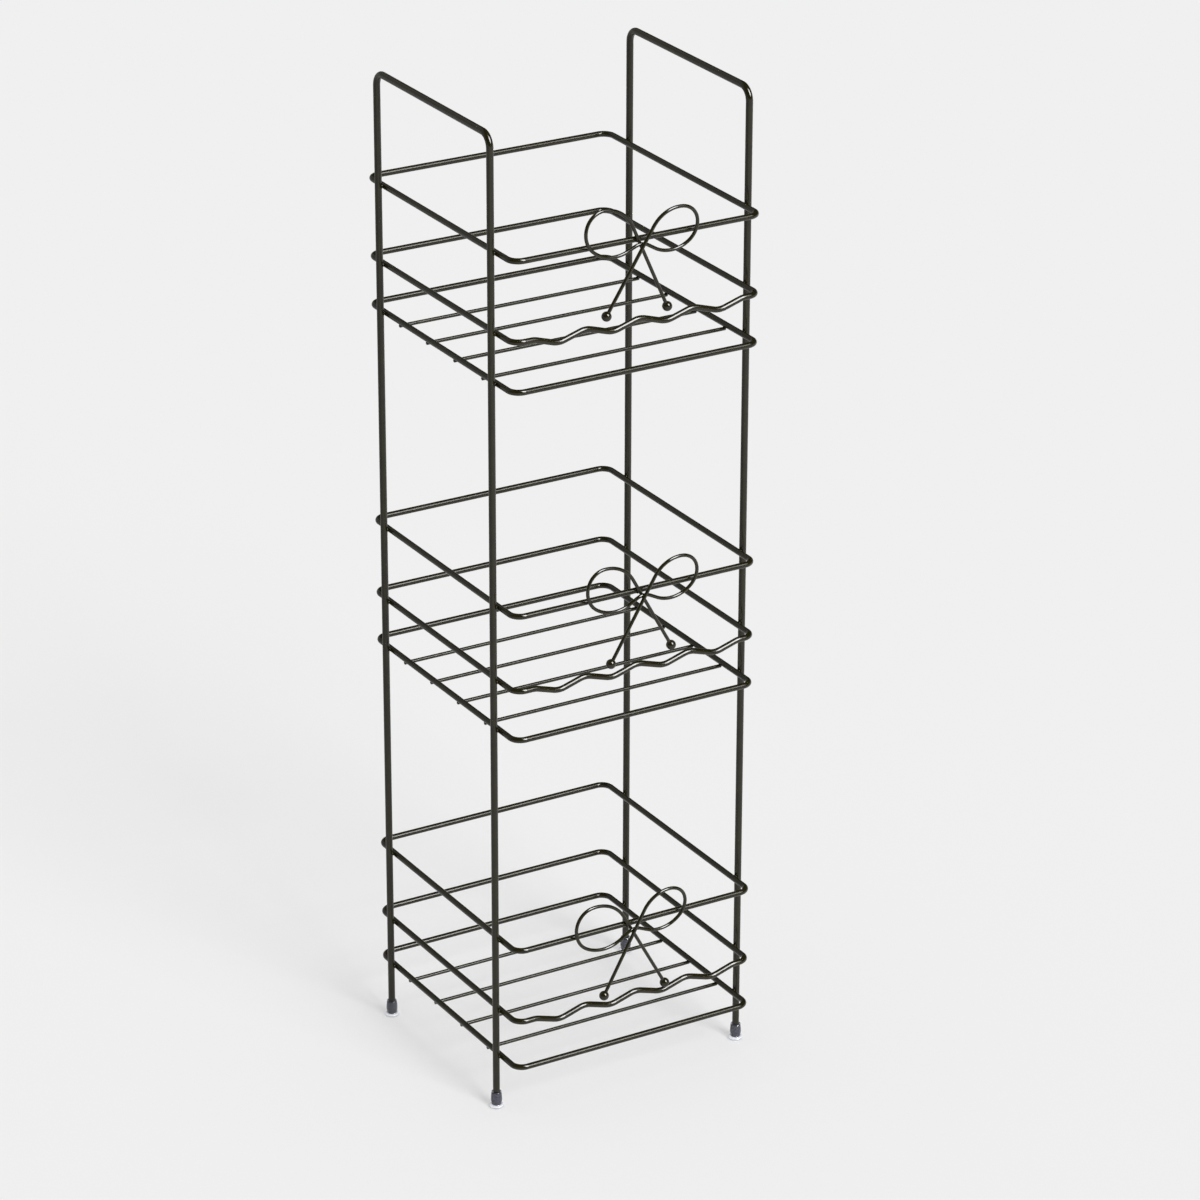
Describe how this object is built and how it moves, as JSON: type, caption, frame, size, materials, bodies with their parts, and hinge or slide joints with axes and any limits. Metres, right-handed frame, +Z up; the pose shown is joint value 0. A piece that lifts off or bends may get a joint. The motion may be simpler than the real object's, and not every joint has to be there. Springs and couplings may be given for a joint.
{
  "type": "tiered bathroom caddy",
  "caption": "Free-standing wire caddy with stacked open baskets between two bent side frames, wire bows on the rims and clear foot caps.",
  "frame": {"origin": "on the floor, at the centre of the bounding box's footprint", "axes": "+Z up, the bows face -Y, +X to the right when seen from the front"},
  "size_m": [0.2114, 0.218, 0.731],
  "materials": {
    "coated_wire": "glossy warm black dip coating",
    "clear_cap": "clear soft PVC"
  },
  "bodies": {
    "root": {"left_side_frame": "coated_wire", "right_side_frame": "coated_wire", "top_rim_ring": "coated_wire", "top_wavy_ring": "coated_wire", "top_base_ring": "coated_wire", "top_floor_wire_1": "coated_wire", "top_floor_wire_2": "coated_wire", "top_floor_wire_3": "coated_wire", "top_floor_wire_4": "coated_wire", "top_bow": "coated_wire", "top_bow_bead_left": "coated_wire", "top_bow_bead_right": "coated_wire", "middle_rim_ring": "coated_wire", "middle_wavy_ring": "coated_wire", "middle_base_ring": "coated_wire", "middle_floor_wire_1": "coated_wire", "middle_floor_wire_2": "coated_wire", "middle_floor_wire_3": "coated_wire", "middle_floor_wire_4": "coated_wire", "middle_bow": "coated_wire", "middle_bow_bead_left": "coated_wire", "middle_bow_bead_right": "coated_wire", "bottom_rim_ring": "coated_wire", "bottom_wavy_ring": "coated_wire", "bottom_base_ring": "coated_wire", "bottom_floor_wire_1": "coated_wire", "bottom_floor_wire_2": "coated_wire", "bottom_floor_wire_3": "coated_wire", "bottom_floor_wire_4": "coated_wire", "bottom_bow": "coated_wire", "bottom_bow_bead_left": "coated_wire", "bottom_bow_bead_right": "coated_wire", "front_left_foot_cap": "clear_cap", "front_right_foot_cap": "clear_cap", "rear_left_foot_cap": "clear_cap", "rear_right_foot_cap": "clear_cap"}
  },
  "joints": []
}
